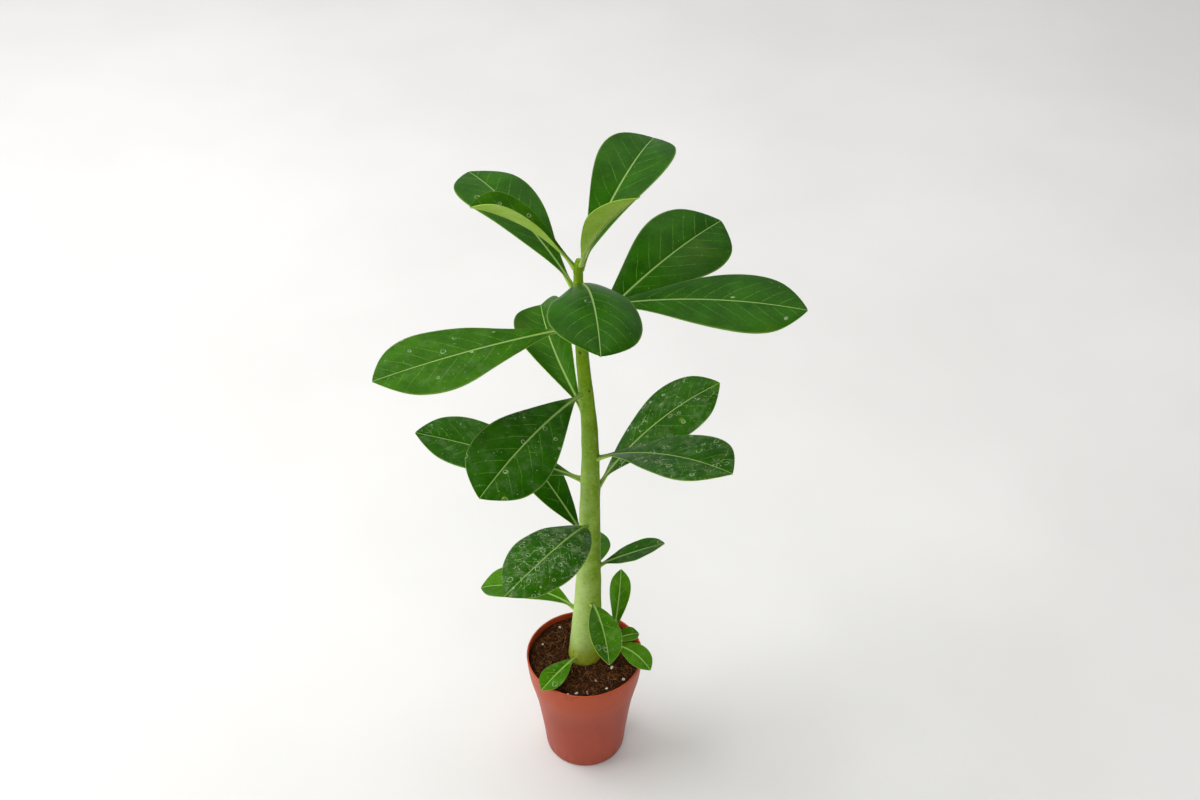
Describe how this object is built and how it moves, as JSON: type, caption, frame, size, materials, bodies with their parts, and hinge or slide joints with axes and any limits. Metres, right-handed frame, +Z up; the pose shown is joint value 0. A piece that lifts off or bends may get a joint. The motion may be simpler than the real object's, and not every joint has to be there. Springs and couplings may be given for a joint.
{
  "type": "potted desert rose adenium",
  "caption": "Young desert rose plant with an upright stem and spiralling spoon-shaped glossy leaves, growing in coir mix in a flared terracotta-coloured plastic nursery pot",
  "frame": {"origin": "the centre of the pot's flat underside, where it meets the table", "axes": "+Z up along the plant's height, -Y toward the side the plant is seen from, +X to its right"},
  "size_m": [0.2786, 0.2356, 0.5306],
  "materials": {
    "pot_plastic": "satin",
    "coir_soil": "rough fibrous",
    "stem_bark": "smooth with a waxy bloom",
    "shoot_bark": "smooth",
    "leaf_green": "glossy leathery",
    "young_leaf_green": "glossy leathery"
  },
  "bodies": {
    "root": {"pot": "pot_plastic", "soil": "coir_soil", "stem": "stem_bark", "side_shoot": "shoot_bark", "leaf_01": "leaf_green", "leaf_02": "leaf_green", "leaf_03": "leaf_green", "leaf_04": "leaf_green", "leaf_05": "leaf_green", "leaf_06": "leaf_green", "leaf_07": "leaf_green", "leaf_08": "leaf_green", "leaf_09": "leaf_green", "leaf_10": "leaf_green", "leaf_11": "leaf_green", "leaf_12": "leaf_green", "leaf_13": "leaf_green", "leaf_14": "leaf_green", "leaf_15": "leaf_green", "leaf_16": "leaf_green", "leaf_17": "leaf_green", "leaf_18": "leaf_green", "leaf_19": "leaf_green", "leaf_20": "leaf_green", "shoot_leaf_1": "young_leaf_green", "shoot_leaf_2": "young_leaf_green", "shoot_leaf_3": "young_leaf_green"}
  },
  "joints": []
}
